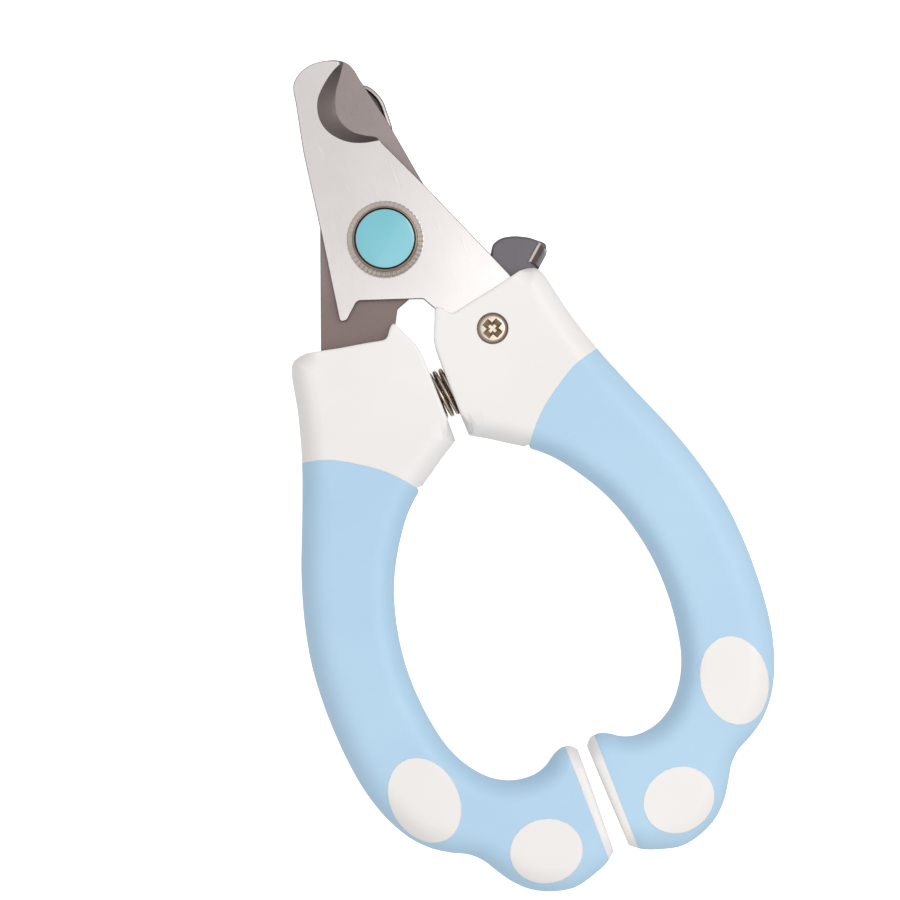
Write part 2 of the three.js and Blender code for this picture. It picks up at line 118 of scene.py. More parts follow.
def smooth(knots, step=0.6):
    """A centripetal Catmull-Rom curve through the knots."""
    knots = np.asarray(knots, float)
    padded = np.vstack([2 * knots[0] - knots[1], knots, 2 * knots[-1] - knots[-2]])
    pieces = []
    for p0, p1, p2, p3 in zip(padded, padded[1:], padded[2:], padded[3:]):
        t1 = np.linalg.norm(p1 - p0) ** 0.5
        t2 = t1 + np.linalg.norm(p2 - p1) ** 0.5
        t3 = t2 + np.linalg.norm(p3 - p2) ** 0.5
        t = np.linspace(t1, t2, 24)[:, None]
        a1 = (t1 - t) / t1 * p0 + t / t1 * p1
        a2 = (t2 - t) / (t2 - t1) * p1 + (t - t1) / (t2 - t1) * p2
        a3 = (t3 - t) / (t3 - t2) * p2 + (t - t2) / (t3 - t2) * p3
        b1 = (t2 - t) / t2 * a1 + t / t2 * a2
        b2 = (t3 - t) / (t3 - t1) * a2 + (t - t1) / (t3 - t1) * a3
        pieces.append((t2 - t) / (t2 - t1) * b1 + (t - t1) / (t2 - t1) * b2)
    return evenly(np.vstack(pieces), step)


def filleted(corners, step=0.5):
    """A closed outline from (x, y, radius) corners, with each corner rounded off."""
    out = []
    count = len(corners)
    for i in range(count):
        before, here, after = (np.array(corners[(i + k) % count][:2], float) for k in (-1, 0, 1))
        radius = corners[i][2]
        u = (before - here) / np.linalg.norm(before - here)
        v = (after - here) / np.linalg.norm(after - here)
        half = math.acos(np.clip(u @ v, -1, 1)) / 2
        if radius < 1e-6 or half > math.radians(89.5):
            out.append(here)
            continue
        reach = min(
            radius / math.tan(half),
            0.49 * np.linalg.norm(before - here),
            0.49 * np.linalg.norm(after - here),
        )
        radius = reach * math.tan(half)
        centre = here + (u + v) / np.linalg.norm(u + v) * math.hypot(reach, radius)
        first, last = here + u * reach - centre, here + v * reach - centre
        turn = math.atan2(first[0] * last[1] - first[1] * last[0], first @ last)
        steps = max(2, int(abs(turn) * radius / min(step, 0.35 * radius)) + 1)
        for k in range(steps + 1):
            a = turn * k / steps
            out.append(centre + np.array([
                first[0] * math.cos(a) - first[1] * math.sin(a),
                first[0] * math.sin(a) + first[1] * math.cos(a),
            ]))
    return spaced(np.array(out), step)


def spaced(loop, step):
    """A closed outline with points added wherever two are further than step apart."""
    out = []
    for a, b in zip(loop, np.roll(loop, -1, axis=0)):
        count = max(1, int(math.ceil(np.linalg.norm(b - a) / step)))
        out.extend(a + (b - a) * k / count for k in range(count))
    return np.array(out)


def oval(x, y, across, along, tilt=0.0, count=96):
    """An ellipse from its centre, its two half sizes and its tilt in degrees."""
    turn = np.linspace(0, 2 * np.pi, count, endpoint=False)
    u, v = across * np.cos(turn), along * np.sin(turn)
    c, s = math.cos(math.radians(tilt)), math.sin(math.radians(tilt))
    return np.stack([x + u * c - v * s, y + u * s + v * c], axis=1)


def nearest(line, point):
    """The index of the line's point that is nearest to a point."""
    return int(np.argmin(np.linalg.norm(line - np.asarray(point, float), axis=1)))


def distance(where, line, closed=False):
    """Each point's distance to a line of points."""
    a = line
    b = np.roll(line, -1, axis=0)
    if not closed:
        a, b = a[:-1], b[:-1]
    d = b - a
    size = np.maximum((d * d).sum(1), 1e-12)
    best = np.full(len(where), 1e9)
    for start in range(0, len(where), 2000):
        w = where[start:start + 2000, None, :] - a[None]
        t = np.clip((w * d[None]).sum(2) / size[None], 0, 1)
        gap = w - t[..., None] * d[None]
        best[start:start + 2000] = np.sqrt((gap * gap).sum(2).min(1))
    return best


def inside(where, loops):
    """Which points are inside the outline and outside its holes."""
    odd = np.zeros(len(where), bool)
    x, y = where[:, 0], where[:, 1]
    for loop in loops:
        for (ax, ay), (bx, by) in zip(loop, np.roll(loop, -1, axis=0)):
            if ay == by:
                continue
            crosses = (ay > y) != (by > y)
            odd ^= crosses & (x < (bx - ax) * (y - ay) / (by - ay) + ax)
    return odd


# --------------------------------------------------------------------------------------------------
# Meshes
# --------------------------------------------------------------------------------------------------


def slab(outline, top, bottom, holes=(), creases=(), rings=(0.15, 0.5), grid=1.3):
    """A closed solid over a flat outline. top and bottom give Z at each point. Loops run anticlockwise,
    rings are the distances from an edge at which points are added, grid is the spacing of the rest, and
    creases are lines that the triangles follow."""
    holes = [hole[::-1] for hole in holes]
    loops = [outline, *holes]
    fixed, edges = [], []
    for line, closed in [(loop, True) for loop in loops] + [(line, False) for line in creases]:
        start, count = len(fixed), len(line)
        fixed.extend(line)
        edges += [(start + i, start + (i + 1) % count) for i in range(count if closed else count - 1)]
    fixed = np.array(fixed)
    added = []
    for ring in rings:
        for loop in loops:
            along = np.roll(loop, -1, axis=0) - np.roll(loop, 1, axis=0)
            along /= np.maximum(np.linalg.norm(along, axis=1), 1e-9)[:, None]
            moved = loop + ring * np.stack([-along[:, 1], along[:, 0]], axis=1)
            clear = np.min([distance(moved, other, True) for other in loops], axis=0)
            added.append(moved[clear > 0.93 * ring])
    low, high = outline.min(0), outline.max(0)
    rows = []
    for j, y in enumerate(np.arange(low[1], high[1], grid * 0.866)):
        x = np.arange(low[0] + (j % 2) * grid / 2, high[0], grid)
        rows.append(np.stack([x, np.full(len(x), y)], axis=1))
    lattice = np.vstack(rows)
    lattice = lattice[inside(lattice, loops)]
    clear = np.min([distance(lattice, loop, True) for loop in loops], axis=0)
    added.append(lattice[clear > max(rings, default=0) + 0.45 * grid])
    added = np.vstack(added)
    added = added[inside(added, loops)]
    for crease in creases:
        added = added[distance(added, crease) > 0.3 * grid]
    flat_points = [Vector(p) for p in np.vstack([fixed, added])]
    flat, _, faces, *_ = delaunay_2d_cdt(flat_points, edges, [], 0, 1e-7)
    flat = np.array([tuple(v) for v in flat])
    faces = np.array(faces)
    faces = faces[inside(flat[faces].mean(axis=1), loops)]
    return raised(flat, faces, top(flat), bottom(flat))


def raised(flat, faces, top, bottom):
    """The two skins over flat triangles, and the walls between them."""
    count = len(flat)
    vertices = np.vstack([np.column_stack([flat, top]), np.column_stack([flat, bottom])])
    directed = {(f[i], f[(i + 1) % 3]) for f in faces.tolist() for i in range(3)}
    walls = [(b, a, a + count, b + count) for a, b in directed if (b, a) not in directed]
    skins = faces.tolist() + (faces[:, ::-1] + count).tolist()
    return vertices, skins + walls


def lathe(profile, centre=(0, 0), sides=96, ring=False):
    """A turned solid from (radius, z) points going up, from axis to axis, or from a closed ring section.
    A point may have a third number, the depth of the radial grooves across it, and a fourth, how many."""
    vertices, faces, rows = [], [], []
    turn = np.linspace(0, 2 * np.pi, sides, endpoint=False)
    for radius, z, *teeth in profile:
        start = len(vertices)
        if radius < 1e-6:
            vertices.append((centre[0], centre[1], z))
            rows.append([start] * sides)
            continue
        groove = teeth[0] * (0.5 - 0.5 * np.cos(teeth[1] * turn)) if teeth else np.zeros(sides)
        r = radius - 0.5 * groove
        vertices.extend(zip(centre[0] + r * np.cos(turn), centre[1] + r * np.sin(turn), z - groove))
        rows.append(list(range(start, start + sides)))
    if ring:
        rows.append(rows[0])
    for below, above in zip(rows, rows[1:]):
        for i in range(sides):
            j = (i + 1) % sides
            face = []
            for v in (below[i], below[j], above[j], above[i]):
                if v not in face:
                    face.append(v)
            if len(face) > 2:
                faces.append(face)
    return np.array(vertices, float), faces


def rod(radius, low, high, centre=(0, 0), sides=48):
    """A plain round solid, for cutting a hole."""
    return lathe(((0, low), (radius, low), (radius, high), (0, high)), centre, sides)


def prism(outline, low, high):
    """A straight-sided solid over an outline."""
    count = len(outline)
    vertices = np.vstack([
        np.column_stack([outline, np.full(count, low)]),
        np.column_stack([outline, np.full(count, high)]),
    ])
    sides = [(i, (i + 1) % count, (i + 1) % count + count, i + count) for i in range(count)]
    return vertices, [tuple(range(count))[::-1], tuple(range(count, 2 * count)), *sides]


def along_x(solid, y, z=0.0):
    """A lathe() solid laid along X, at that Y and Z."""
    vertices, faces = solid
    return np.column_stack([vertices[:, 2], vertices[:, 1] + y, -vertices[:, 0] + z]), faces


def moved(solid, turn=0.0, shift=(0, 0, 0)):
    """A solid turned about the pivot axis by degrees, then shifted."""
    vertices, faces = solid
    c, s = math.cos(math.radians(turn)), math.sin(math.radians(turn))
    turned = vertices @ np.array([[c, s, 0], [-s, c, 0], [0, 0, 1]])
    return turned + np.array(shift), faces


def turned_over(solid):
    """The left handle's copy of a right-handle solid: the same part turned over about the Y axis."""
    vertices, faces = solid
    return vertices * [-1, 1, -1], faces


def joined(*solids):
    """Several solids as one list of vertices and faces."""
    vertices, faces, start = [], [], 0
    for v, f in solids:
        vertices.append(v)
        faces.extend(tuple(i + start for i in face) for face in f)
        start += len(v)
    return np.vstack(vertices), faces


def blank(name, solid):
    """An object from a solid, with its doubled points merged and its faces pointing out."""
    vertices, faces = solid
    mesh = bpy.data.meshes.new(name)
    mesh.from_pydata((vertices * MM + np.array(PIVOT)).tolist(), [], [tuple(f) for f in faces])
    bm = bmesh.new()
    bm.from_mesh(mesh)
    bmesh.ops.remove_doubles(bm, verts=bm.verts, dist=2e-6)
    loose = [v for v in bm.verts if not v.link_faces]
    bmesh.ops.delete(bm, geom=loose, context="VERTS")
    bmesh.ops.recalc_face_normals(bm, faces=bm.faces)
    bm.to_mesh(mesh)
    bm.free()
    piece = bpy.data.objects.new(name, mesh)
    bpy.context.scene.collection.objects.link(piece)
    return piece


def cut(piece, *cutters, operation="DIFFERENCE"):
    """The piece with each solid taken away from it, or joined to it by operation="UNION"."""
    for i, solid in enumerate(cutters):
        tool = blank(f"tool_{i}", solid)
        modifier = piece.modifiers.new("cut", "BOOLEAN")
        modifier.operation = operation
        modifier.solver = "EXACT"
        modifier.object = tool
        bpy.context.view_layer.update()
        evaluated = piece.evaluated_get(bpy.context.evaluated_depsgraph_get())
        shape = bpy.data.meshes.new_from_object(evaluated)
        piece.modifiers.clear()
        piece.data = shape
        bpy.data.objects.remove(tool)
    return piece


def finished(piece, body, slot, materials, *replaced, sharp=32):
    """Shades a piece, gives it its materials, and sets what it rides on and stands for."""
    mesh = piece.data
    mesh.materials.clear()
    for material in materials if isinstance(materials, (list, tuple)) else [materials]:
        mesh.materials.append(material)
    mesh.polygons.foreach_set("use_smooth", [True] * len(mesh.polygons))
    mesh.set_sharp_from_angle(angle=math.radians(sharp))
    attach(piece, body)
    if replaced:
        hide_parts(*replaced)
    return piece


def paint(piece, index, test):
    """Gives a material to the faces that pass a test of their centres, in millimetres, and their normals."""
    faces = piece.data.polygons
    centres = np.array([face.center for face in faces])
    normals = np.array([face.normal for face in faces])
    chosen = test((centres - np.array(PIVOT)) / MM, normals)
    indices = np.array([face.material_index for face in faces])
    faces.foreach_set("material_index", np.where(chosen, index, indices).astype(np.int32))


# --------------------------------------------------------------------------------------------------
# Materials
# --------------------------------------------------------------------------------------------------


class Nodes:
    """A small helper for node materials. Its keyword arguments set the shader's own sockets."""

    def __init__(self, name, **principled):
        self.material = bpy.data.materials.new(name)
        self.material.use_nodes = True
        self.tree = self.material.node_tree
        self.shader = self.tree.nodes["Principled BSDF"]
        for key, value in principled.items():
            self.shader.inputs[key.replace("_", " ")].default_value = value
        self.object = self.tree.nodes.new("ShaderNodeTexCoord").outputs["Object"]

    def add(self, kind, settings=None, **inputs):
        """A new node. An input is named with _ for a space, or as _0 for its number."""
        node = self.tree.nodes.new("ShaderNode" + kind)
        for key, value in (settings or {}).items():
            setattr(node, key, value)
        for key, value in inputs.items():
            socket = node.inputs[int(key[1:]) if key[0] == "_" else key.replace("_", " ")]
            if isinstance(value, bpy.types.NodeSocket):
                self.tree.links.new(value, socket)
            else:
                socket.default_value = value
        return node

    def noise(self, scale, detail=4.0, roughness=0.5, stretch=None, turn=0.0):
        """Noise over the piece, drawn out by stretch along axes that are turned about Z by degrees."""
        vector = self.object
        if stretch:
            turned = (0, 0, math.radians(turn))
            vector = self.add("Mapping", Vector=vector, Scale=stretch, Rotation=turned).outputs["Vector"]
        node = self.add("TexNoise", Vector=vector, Scale=scale, Detail=detail, Roughness=roughness)
        return node.outputs["Fac"]

    def span(self, value, low, high, from_low=0.3, from_high=0.7):
        """A value's middle range, spread from low to high."""
        node = self.add(
            "MapRange", Value=value, From_Min=from_low, From_Max=from_high, To_Min=low, To_Max=high
        )
        return node.outputs["Result"]

    def colours(self, value, dark, light):
        """Sets the base colour to run from dark to light with a value, and returns its socket."""
        mix = self.add("Mix", {"data_type": "RGBA"}, _0=self.span(value, 0, 1))
        mix.inputs[6].default_value = (*dark, 1)
        mix.inputs[7].default_value = (*light, 1)
        self.to("Base Color", mix.outputs[2])
        return mix.outputs[2]

    def bump(self, *layers):
        """Bumps from (height socket, metres) pairs."""
        normal = None
        for height, depth in layers:
            node = self.add("Bump", Height=height, Distance=depth, Strength=1.0)
            if normal:
                self.tree.links.new(normal, node.inputs["Normal"])
            normal = node.outputs["Normal"]
        self.to("Normal", normal)

    def to(self, socket, value):
        self.tree.links.new(value, self.shader.inputs[socket])


def srgb(red, green, blue):
    """Linear values of a colour whose parts are all above 10 of 255."""
    return tuple(((c / 255 + 0.055) / 1.055) ** 2.4 for c in (red, green, blue))


def brushed_steel(name, dark, light, rough, turn=0.0, tail=None):
    """Ground sheet steel: fine lines along the tool or turned from it by degrees, slight clouding, and a few
    stray scratches. tail is what its colour is multiplied by towards the handles, as painted shade."""
    n = Nodes(name, Metallic=1.0)
    grain = n.noise(900.0, 5.0, 0.65, (9.0, 0.35, 9.0), turn)
    clouds = n.noise(60.0, 3.0)
    scratches = n.noise(2600.0, 1.0, 0.5, (1.0, 0.04, 1.0), turn + 17)
    colour = n.colours(clouds, dark, light)
    if tail:
        # Painted shade: the colour is multiplied down towards the handles, where the blade lies in shade.
        along = n.add("SeparateXYZ", Vector=n.object).outputs["Y"]
        share = n.span(along, 0, 1, PIVOT.y + 0.018, PIVOT.y - 0.008)
        painted_shade_fade = n.add("Mix", {"data_type": "RGBA", "blend_type": "MULTIPLY"}, _0=share, _6=colour)
        painted_shade_fade.inputs[7].default_value = (*tail, 1)
        n.to("Base Color", painted_shade_fade.outputs[2])
    n.to("Roughness", n.span(grain, rough * 0.8, rough * 1.25))
    n.bump((grain, 0.0000015), (n.span(scratches, 0, 1, 0.74, 0.8), 0.000003))
    return n.material


def polished(name, dark, light, rough):
    """Nickel-plated steel: bright, with faint ripples and fingerprints in the gloss."""
    n = Nodes(name, Metallic=1.0)
    ripple = n.noise(350.0, 2.0)
    n.colours(n.noise(140.0, 3.0), dark, light)
    n.to("Roughness", n.span(n.noise(220.0, 5.0), rough * 0.7, rough * 1.5))
    n.bump((ripple, 0.00001))
    return n.material


def moulded(name, dark, light, rough, grain=5200.0, depth=0.000012, **principled):
    """Moulded plastic: a fine skin, depth metres high, over slow waves, with faint clouding."""
    n = Nodes(name, **principled)
    n.colours(n.noise(45.0, 4.0), dark, light)
    skin = n.noise(grain, 3.0, 0.6)
    n.to("Roughness", n.span(n.noise(90.0, 5.0), rough - 0.05, rough + 0.06))
    n.bump((skin, depth), (n.noise(120.0, 2.0), 0.00003))
    return n.material


# The rear blade's grinding lines lean a little, and its colour is darkened and browned towards the handles as
# painted shade from the front blade and the cores.
DARK_STEEL_GRIND_AND_SHADE = {"turn": 4, "tail": (0.66, 0.6, 0.58)}


def make_materials():
    """Every material by its name: its darker and lighter colour, its roughness and what else it needs."""
    recipes = (
        (brushed_steel, "satin_steel", (224, 218, 216), (232, 227, 225), 0.16, {}),
        (brushed_steel, "dark_steel", (150, 138, 137), (160, 148, 147), 0.3, DARK_STEEL_GRIND_AND_SHADE),
        # ground_steel: rough ground steel whose colour is darkened as a painted dark reflection and painted
        # shade.
        (brushed_steel, "ground_steel", (108, 99, 97), (120, 111, 108), 0.5, {"turn": 40}),
        (brushed_steel, "sheared_steel", (132, 126, 125), (144, 138, 137), 0.8, {"turn": 90}),
        (polished, "guard_steel", (172, 166, 162), (188, 182, 178), 0.34, {}),
        (polished, "screw_steel", (206, 194, 176), (228, 217, 200), 0.34, {}),
        (polished, "knurled_steel", (194, 185, 178), (216, 208, 201), 0.32, {}),
        (brushed_steel, "lever_steel", (101, 98, 103), (111, 108, 114), 0.3, {"turn": 60}),
        (polished, "spring_steel", (168, 152, 138), (204, 190, 176), 0.2, {}),
        (polished, "bright_steel", (212, 205, 199), (232, 226, 220), 0.2, {}),
        (polished, "brass", (170, 138, 78), (200, 166, 100), 0.28, {}),
        (moulded, "white_plastic", (229, 225, 222), (234, 230, 227), 0.42, {}),
        (moulded, "blue_grip", (170, 202, 226), (177, 208, 230), 0.55, {"grain": 3800.0, "depth": 0.00001}),
        (moulded, "enamel", (112, 186, 200), (126, 196, 208), 0.2, {"depth": 0.000002, "Coat_Weight": 0.6}),
        (polished, "rim", (40, 30, 26), (58, 46, 40), 0.3, {}),
        # The two browns below are painted shade and painted reflection on steel parts.
        (polished, "bronze", (164, 148, 138), (184, 168, 158), 0.4, {}),
        (polished, "dark_bronze", (156, 134, 113), (178, 156, 136), 0.5, {}),
        (moulded, "nylon", (226, 220, 206), (236, 231, 219), 0.5, {}),
    )
    return {
        name: make(name, srgb(*dark), srgb(*light), rough, **more)
        for make, name, dark, light, rough, more in recipes
    }


MATERIALS = make_materials()

# --------------------------------------------------------------------------------------------------
# Handles
# --------------------------------------------------------------------------------------------------

# The right handle's soft edges, from the corner beside the lock down to the stop face of the paw.
OUTER = smooth(points(
    (21.9, -13.9), (23.3, -14.35), (24.2, -15.6), (26.05, -23.6), (28.45, -31.7), (31.8, -40.5),
    (35.85, -50.5), (38.5, -59.0), (40.05, -66.5), (40.6, -73.0), (40.65, -78.0), (40.25, -85.0),
    (39.3, -91.2), (37.4, -97.2), (34.8, -101.9), (31.9, -105.0), (28.9, -107.0), (26.0, -108.5),
    (24.0, -110.4), (22.4, -113.0), (20.6, -115.7), (17.95, -118.3), (14.3, -120.15),
    (10.3, -120.9), (6.6, -120.1), (3.2, -118.75), (1.45, -117.35),
))
# Its edge round the finger loop, from the neck down to the stop face.
LOOP = smooth(points(
    (1.3, -38.15), (2.3, -38.8), (4.3, -40.0), (7.2, -41.95), (10.2, -43.95), (14.0, -47.3),
    (17.9, -52.6), (20.85, -58.1), (22.85, -64.1), (24.05, -70.5), (24.35, -76.5), (23.85, -83.0),
    (22.4, -89.5), (20.0, -94.1), (16.9, -97.35), (13.4, -99.05), (9.8, -99.35), (7.4, -98.65),
    (5.2, -97.2), (3.5, -96.6), (2.0, -96.8), (0.9, -97.9),
))
# The neck's hard edge, from the corner beside the lock to the top of the loop.
NECK_EDGE = points(
    (20.4, -14.0), (14.9, -15.25), (9.5, -16.25), (7.2, -16.75), (6.4, -16.8), (5.85, -16.4),
    (5.2, -15.5), (4.65, -14.9), (4.2, -14.65), (3.8, -14.85), (3.5, -15.5), (3.0, -16.8),
    (2.35, -18.15), (1.65, -19.7), (1.35, -21.5), (1.25, -27.0), (1.25, -34.0),
)
# The line between the white neck and the grip.
SEAM = smooth(points(
    (28.5, -31.9), (23.7, -33.2), (19.25, -35.7), (15.4, -38.5), (12.6, -41.3), (10.8, -43.6),
))
STRIP_X = 2.8
# The white pads that show through the grip: centre, half sizes and tilt.
PADS = ((29.7, -96.1, 6.15, 8.05, -6), (12.7, -112.4, 6.55, 5.85, 8))
PAD_GAP = 0.015
PAD_PROUD = 0.05
POCKET_DEPTH = 0.8
POCKET_WALL = 0.02  # how wide the pocket's wall is, seen from the front
# The small rounded corners at the hard edges.
SEAM_CORNER = 0.06
NECK_CORNER = 0.45
FACE_CORNER = 0.9

# How far in the handle's rounding reaches, and the distances at which it gets points.
ROUND_OUTER = 4.9
ROUND_TOP = 3.4
ROUND_LOOP = 3.7
ROUND_ANGLES = (8, 16, 25, 34, 43, 52, 62, 73, 85)
ROUND_RINGS = tuple(ROUND_OUTER * (1 - math.cos(math.radians(a))) for a in ROUND_ANGLES)


def strip_line():
    """The line between the grip and the white strip beside the stop face, going down."""
    paw_ends = (LOOP[LOOP[:, 1] < -90], OUTER[OUTER[:, 1] < -110])
    return evenly(np.array([line[np.argmin(abs(line[:, 0] - STRIP_X))] for line in paw_ends]), 0.6)


def rounding(t):
    """The height of a quarter-round edge, from 0 at the edge to 1."""
    return np.sqrt(np.maximum(0, 1 - (1 - np.clip(t, 0, 1)) ** 2))


def crown(where):
    """The height of the handle's front face above its middle plane."""
    radius = np.interp(where[:, 1], (-40, -14), (ROUND_OUTER, ROUND_TOP))
    outer = rounding(distance(where, OUTER) / radius)
    loop = rounding(distance(where, LOOP) / ROUND_LOOP)
    return (HALF_THICK - PAD_PROUD) * np.minimum(outer, loop)


def corner(gap, radius):
    """How far a small rounded corner drops the face at that distance from a hard edge."""
    return radius * (1 - rounding(gap / radius))


def handle_solid(outline, hard_edges, holes=(), pockets=(), creases=()):
    """A stretch of the handle over an outline. Each hard edge is a line with its corner radius, and each
    pocket is a loop with its depth."""

    def top(where):
        z = crown(where)
        for line, radius in hard_edges:
            z = z - np.minimum(z, corner(distance(where, line), radius))
        for loop, depth in pockets:
            z = np.where(inside(where, [loop]), z - np.minimum(depth, 0.6 * z), z)
        return z

    rings = (0.08, 0.2) + ROUND_RINGS
    return slab(outline, top, lambda where: -top(where), holes, creases, rings, grid=1.4)


def neck_outline():
    """The white neck: down the loop's edge, up the seam and the outside, and back along the hard edge."""
    outer_end, loop_end = nearest(OUTER, SEAM[0]), nearest(LOOP, SEAM[-1])
    return np.vstack([
        LOOP[:loop_end],
        SEAM[::-1],
        OUTER[:outer_end][::-1],
        evenly(NECK_EDGE, 0.5),
    ])


def core_solids():
    """The white core: the neck, the strip beside the stop face, and the pads that show through the grip."""
    neck = handle_solid(neck_outline(), [(NECK_EDGE, NECK_CORNER), (SEAM, SEAM_CORNER)])
    loop_from, outer_from = (nearest(line, end) for line, end in zip((LOOP, OUTER), strip_line()[[0, -1]]))
    face = evenly(points(tuple(LOOP[-1]), tuple(OUTER[-1])), 0.6)
    strip_outline = np.vstack([
        LOOP[loop_from + 1:-1],
        face,
        OUTER[outer_from + 1:-1][::-1],
        strip_line()[::-1],
    ])
    strip = handle_solid(strip_outline, [(face, FACE_CORNER), (strip_line(), SEAM_CORNER)])
    pads = []
    for x, y, across, along, tilt in PADS:
        outline = oval(x, y, across - PAD_GAP, along - PAD_GAP, tilt)

        def top(where, outline=outline):
            return crown(where) + PAD_PROUD - corner(distance(where, outline, True), 1.5 * PAD_PROUD)

        pad = slab(outline, top, lambda where: crown(where) * 0.4, rings=(0.07, 0.16, 0.6), grid=1.0)
        pads += [pad, (pad[0] * [1, 1, -1], pad[1])]
    return neck, strip, pads


def grip_solid():
    """The blue grip, with a shallow pocket for each pad."""
    outer_from, outer_to = nearest(OUTER, SEAM[0]), nearest(OUTER, strip_line()[-1])
    loop_from, loop_to = nearest(LOOP, SEAM[-1]), nearest(LOOP, strip_line()[0])
    outline = np.vstack([
        LOOP[loop_from + 1:loop_to],
        strip_line(),
        OUTER[outer_from + 1:outer_to][::-1],
        SEAM,
    ])
    rims = [oval(x, y, across, along, tilt) for x, y, across, along, tilt in PADS]
    floors = [
        oval(x, y, across - POCKET_WALL, along - POCKET_WALL, tilt)
        for x, y, across, along, tilt in PADS
    ]
    creases = [np.vstack([loop, loop[:1]]) for loop in rims + floors]
    hard = [(SEAM, SEAM_CORNER), (strip_line(), SEAM_CORNER)]
    pockets = [(loop, POCKET_DEPTH) for loop in floors]
    return handle_solid(outline, hard, pockets=pockets, creases=creases)


# --------------------------------------------------------------------------------------------------
# Blades
# --------------------------------------------------------------------------------------------------

# The round of the nose, and the notch's rim on one face and cutting edge on the other.
NOSE = smooth(points(
    (4.45, 32.6), (2.6, 33.5), (0.8, 34.0), (-1.4, 34.1), (-3.6, 33.4), (-5.1, 32.2), (-5.75, 30.8),
    (-6.1, 28.8),
), 0.4)
RIM = smooth(points(
    (4.45, 32.6), (2.2, 31.65), (-0.3, 29.9), (-2.2, 27.9), (-3.05, 25.8), (-3.2, 24.0),
    (-2.7, 22.0), (-1.4, 20.1), (0.4, 18.6), (2.7, 17.6), (5.45, 17.0),
), 0.35)
EDGE = smooth(points(
    (4.45, 32.6), (3.1, 30.6), (1.4, 28.3), (0.35, 26.0), (0.0, 24.0), (0.45, 22.1), (1.6, 20.3),
    (3.3, 19.0), (5.3, 17.75), (5.45, 17.0),
), 0.35)
NOTCH = np.vstack([RIM, EDGE[1:-1][::-1]])
NOTCH_END = (5.45, 17.0)
EDGE_THICK = 0.12
BLADE_CORNER = 0.1
HOLE_RADIUS = 3.5
REAR_TAIL = 0.65


def blade_outline(tail):
    """A blade, from the hook's point round the nose, the stop tooth, the tang and back along the edge.
    tail is how far that last edge is ground in where it meets the handle."""
    body = filleted([
        (-6.3, 27.8, 0), (-8.0, 20.2, 30.0), (-10.4, 4.6, 30.0), (-12.95, -10.9, 0.9), (-11.6, -10.9, 0.7),
        (-8.7, -8.35, 1.1), (2.5, -12.3, 0.7), (4.3, -15.6, 1.0), (6.0, -19.0, 1.0), (6.4, -33.5, 2.0),
        (19.0, -41.5, 3.0), (25.0, -54.0, 1.8), (29.2, -54.0, 1.8), (27.6, -42.0, 5.0), (22.6, -25.5, 5.0),
        (18.4 - tail, -13.6, 5.0), (10.15, 6.4, 4.0), (*NOTCH_END, 0),
    ])
    return np.vstack([NOSE, body[:nearest(body, NOTCH_END)], EDGE[1:][::-1][:-1]])


def blade_solid(tail=0.0):
    """A blade as the front one lies, hollow-ground at the notch, with its pivot hole."""
    outline = blade_outline(tail)
    hole = oval(0, 0, HOLE_RADIUS, HOLE_RADIUS, count=72)
    blunt = [NOSE, outline[nearest(outline, NOSE[-1]):nearest(outline, NOTCH_END)]]

    def top(where):
        to_rim, to_edge = distance(where, RIM), distance(where, EDGE)
        ground = inside(where, [NOTCH]) | (to_edge < 1e-4)
        share = np.where(to_rim < 1e-4, 1.0, to_edge / np.maximum(to_edge + to_rim, 1e-9))
        depth = BLADE_HIGH - BLADE_LOW - EDGE_THICK
        bevel = BLADE_LOW + EDGE_THICK + depth * (0.75 * share + 0.25 * share ** 2)
        z = np.full(len(where), BLADE_HIGH)
        for line in blunt:
            z = np.minimum(z, BLADE_HIGH - corner(distance(where, line), BLADE_CORNER))
        return np.where(ground, np.minimum(bevel, z), z)

    def bottom(where):
        z = np.full(len(where), BLADE_LOW)
        for line in blunt:
            z = np.maximum(z, BLADE_LOW + corner(distance(where, line), BLADE_CORNER))
        return z

    return slab(outline, top, bottom, [hole], [RIM[1:-1]], rings=(0.04, 0.12, 0.17, 0.8), grid=1.5)


# --------------------------------------------------------------------------------------------------
# The pieces, one function for each
# --------------------------------------------------------------------------------------------------

SCREW_HOLE = 1.7
INSERT_HOLE = 2.6


def make_blades():
    """The two blades. The front one has a hole for the lock screw."""
    front = cut(blank("front_blade_sheet", blade_solid()), rod(SCREW_HOLE, -1, 4, SCREW))
    rear = blank("rear_blade_sheet", turned_over(blade_solid(REAR_TAIL)))
    rows = (
        (front, "right_handle", "satin_steel", "front_blade", 1),
        (rear, "left_handle", "dark_steel", "rear_blade", -1),
    )
    for piece, body, look, node, side in rows:
        looks = [MATERIALS[name] for name in (look, "sheared_steel", "ground_steel")]
        finished(piece, body, look, looks, node)
        grind = NOTCH * [side, 1]

        def on_bevel(where, normals, grind=grind):
            return inside(where[:, :2], [grind]) & (abs(normals[:, 2]) < 0.97)

        paint(piece, 1, lambda where, normals: abs(normals[:, 2]) < 0.995)
        # The hollow-ground bevel gets the darker steel: a painted dark reflection.
        paint(piece, 2, on_bevel)


# The slot in the right core that the lever swings in.
SLOT = points(
    (6.9, -21.5), (7.4, -24.2), (9.6, -26.6), (12.4, -27.2), (15.6, -26.0), (17.2, -23.6),
    (23.0, -18.2), (26.5, -14.6), (26.5, -9.0), (8.2, -9.0), (8.2, -15.0),
)
SLOT_HEIGHTS = (-2.5, 0.2)
SPRING_Y = -29.5
SPRING_SEAT = 4.4
TANG_GAP = 0.15


def tang_pocket():
    """The pocket in a core for the blade's tang."""
    corners = (
        (4.0, -10.0, 0), (4.0, -15.6, 0), (5.8, -19.2, 0), (6.1, -33.7, 1.5), (18.8, -41.8, 2),
        (24.7, -54.4, 1), (29.6, -54.4, 1), (27.9, -42.0, 5), (22.9, -25.4, 5), (18.6, -13.4, 0),
        (20.0, -10.0, 0),
    )
    return prism(filleted(corners), BLADE_LOW - TANG_GAP, BLADE_HIGH + TANG_GAP)


